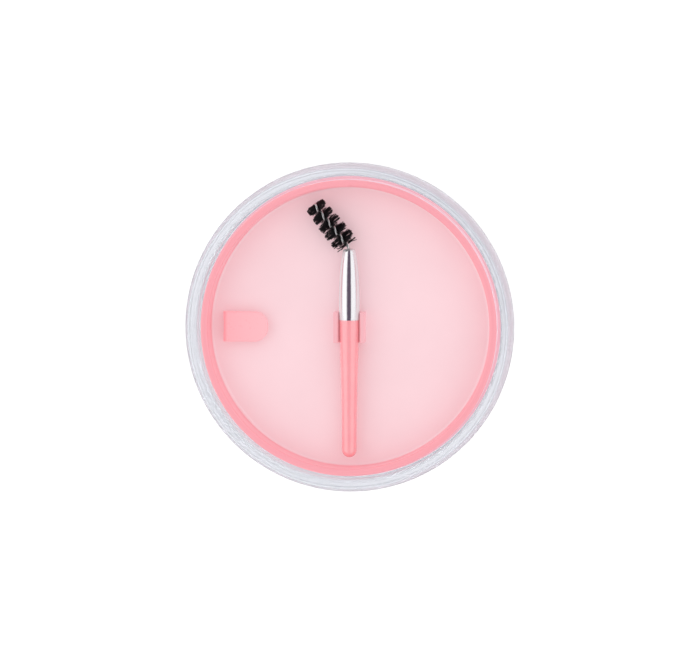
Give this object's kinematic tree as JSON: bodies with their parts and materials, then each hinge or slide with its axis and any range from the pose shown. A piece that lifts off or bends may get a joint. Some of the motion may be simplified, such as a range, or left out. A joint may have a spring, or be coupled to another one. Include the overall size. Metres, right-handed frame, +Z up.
{
  "type": "dappen dish",
  "caption": "Round clear dish with a recessed plug-in inner lid, a clipped brow spoolie brush and a small hinged pull tab.",
  "frame": {"origin": "centre of the dish's foot, on the surface that it stands on", "axes": "+Z up through the middle of the dish, +Y along the brush from its handle to its spoolie, -X towards the pull tab"},
  "size_m": [0.066, 0.066, 0.02],
  "materials": {
    "clear_plastic": "clear, polished",
    "pink_plastic": "translucent, satin",
    "tab_plastic": "translucent, satin",
    "seal_rubber": "soft, matt",
    "handle_plastic": "glossy",
    "ferrule_metal": "polished",
    "wire_steel": "bright drawn wire",
    "bristle_nylon": "black filaments"
  },
  "bodies": {
    "dish": {"dish": "clear_plastic"},
    "inner_lid": {"inner_lid": "pink_plastic", "seal_ring": "seal_rubber"},
    "pull_tab": {"pull_tab": "tab_plastic"},
    "brush": {"brush_handle": "handle_plastic", "brush_ferrule": "ferrule_metal", "wire_stem": "wire_steel"},
    "spoolie": {"spoolie_wire": "wire_steel", "spoolie_bristles": "bristle_nylon"}
  },
  "joints": [
    {"name": "lid_lift", "type": "slide", "parent": "dish", "child": "inner_lid", "axis": [0, 0, 1], "range_m": [0, 0.025]},
    {"name": "tab_hinge", "type": "hinge", "parent": "inner_lid", "child": "pull_tab", "pos_m": [-0.02435, 0, 0.01545], "axis": [0, -1, 0], "range_deg": [0, 90]},
    {"name": "brush_lift", "type": "slide", "parent": "inner_lid", "child": "brush", "axis": [0, 0, 1], "range_m": [0, 0.02]},
    {"name": "head_bend", "type": "hinge", "parent": "brush", "child": "spoolie", "pos_m": [0, 0.0159, 0.01685], "axis": [0, 0, 1], "range_deg": [-39, 15]}
  ]
}
